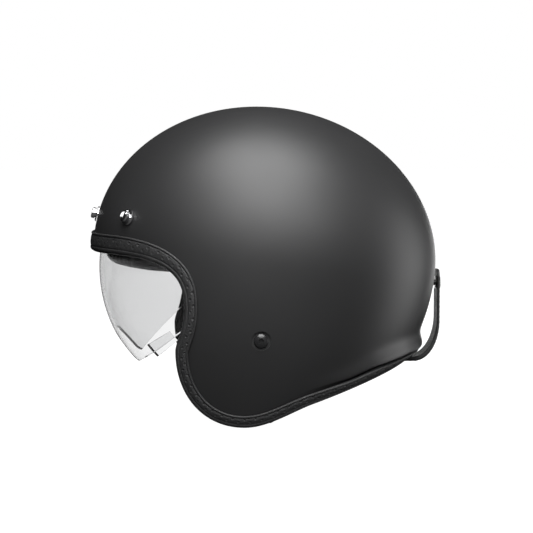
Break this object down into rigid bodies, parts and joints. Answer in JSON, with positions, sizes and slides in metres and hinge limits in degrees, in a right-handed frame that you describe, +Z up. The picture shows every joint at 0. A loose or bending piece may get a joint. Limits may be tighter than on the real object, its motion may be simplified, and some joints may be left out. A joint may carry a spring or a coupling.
{
  "type": "open face motorcycle helmet",
  "caption": "Open face motorcycle helmet with a matt shell, stitched edge trim, drop-down clear visor, brow snap studs, a rear goggle strap and a padded lining.",
  "frame": {"origin": "centre of the head cavity at the shell's widest level", "axes": "+Z up, the wearer faces -Y, +X is the wearer's left"},
  "size_m": [0.2318, 0.2759, 0.2462],
  "materials": {
    "shell_paint": "matt black paint over a moulded shell",
    "trim_leather": "black leatherette with two rows of stitch holes",
    "liner_foam": "black expanded foam",
    "pad_fabric": "black knitted fabric",
    "pad_leather": "black leatherette, padded",
    "black_plastic": "moulded black",
    "visor_clear": "clear polycarbonate with a light grey tint",
    "plain_steel": "zinc plated",
    "bright_chrome": "polished",
    "black_metal": "glossy black",
    "strap_leather": "black grained",
    "white_plastic": "moulded white",
    "webbing": "black woven webbing",
    "red_webbing": "red woven tab"
  },
  "bodies": {
    "helmet": {"outer_shell": "shell_paint", "edge_trim": "trim_leather", "impact_liner": "liner_foam", "crown_pad": "pad_fabric", "brow_pad": "pad_leather", "neck_roll": "pad_leather", "cheek_block_left": "liner_foam", "cheek_block_right": "liner_foam", "cheek_pad_left": "pad_fabric", "cheek_pad_right": "pad_fabric", "cheek_pad_studs": "black_plastic", "crown_pad_studs": "black_plastic", "visor_pivot_left": "black_plastic", "visor_pivot_right": "black_plastic", "visor_wave_washers": "plain_steel", "visor_pivot_screws": "plain_steel", "brow_snap_studs": "bright_chrome", "brow_snap_nuts": "plain_steel", "rear_snap_post": "black_metal", "rear_snap_nut": "plain_steel", "goggle_strap_tab": "strap_leather", "anchor_bolt_left": "black_metal", "anchor_bolt_right": "black_metal", "anchor_spacers": "white_plastic", "anchor_nuts": "plain_steel"},
    "visor": {"visor_lens": "visor_clear", "visor_grip": "visor_clear"},
    "goggle_strap": {"goggle_strap": "strap_leather", "goggle_snap_socket": "black_metal", "goggle_snap_cap": "black_metal"},
    "chin_strap": {"anchor_plate_left": "plain_steel", "anchor_plate_right": "plain_steel", "chin_strap_left": "webbing", "chin_strap_right": "webbing", "chin_strap_sleeve": "pad_fabric", "buckle_frame": "plain_steel", "buckle_pin": "plain_steel", "buckle_spring": "plain_steel"},
    "buckle_lever": {"buckle_lever": "black_plastic", "buckle_release_tab": "red_webbing"},
    "ratchet_tongue": {"ratchet_tongue": "white_plastic"}
  },
  "joints": [
    {"name": "visor_pivot", "type": "hinge", "parent": "helmet", "child": "visor", "pos_m": [0, -0.0194, -0.009], "axis": [-1, 0, 0], "range_deg": [0, 38]},
    {"name": "goggle_strap_hinge", "type": "hinge", "parent": "helmet", "child": "goggle_strap", "pos_m": [0, 0.1175, -0.0816], "axis": [-1, 0, 0], "range_deg": [0, 60]},
    {"name": "chin_strap_swing", "type": "hinge", "parent": "helmet", "child": "chin_strap", "pos_m": [0, -0.0083, -0.0549], "axis": [1, 0, 0], "range_deg": [-15, 15]},
    {"name": "buckle_lever_hinge", "type": "hinge", "parent": "chin_strap", "child": "buckle_lever", "pos_m": [0.02502, -0.0083, -0.1269], "axis": [0, 1, 0], "range_deg": [0, 40], "stiffness_Nm_per_rad": 0.02, "springref_deg": -11.46},
    {"name": "tongue_slide", "type": "slide", "parent": "chin_strap", "child": "ratchet_tongue", "axis": [0.9816, 0, 0.1908], "range_m": [0, 0.009]}
  ]
}
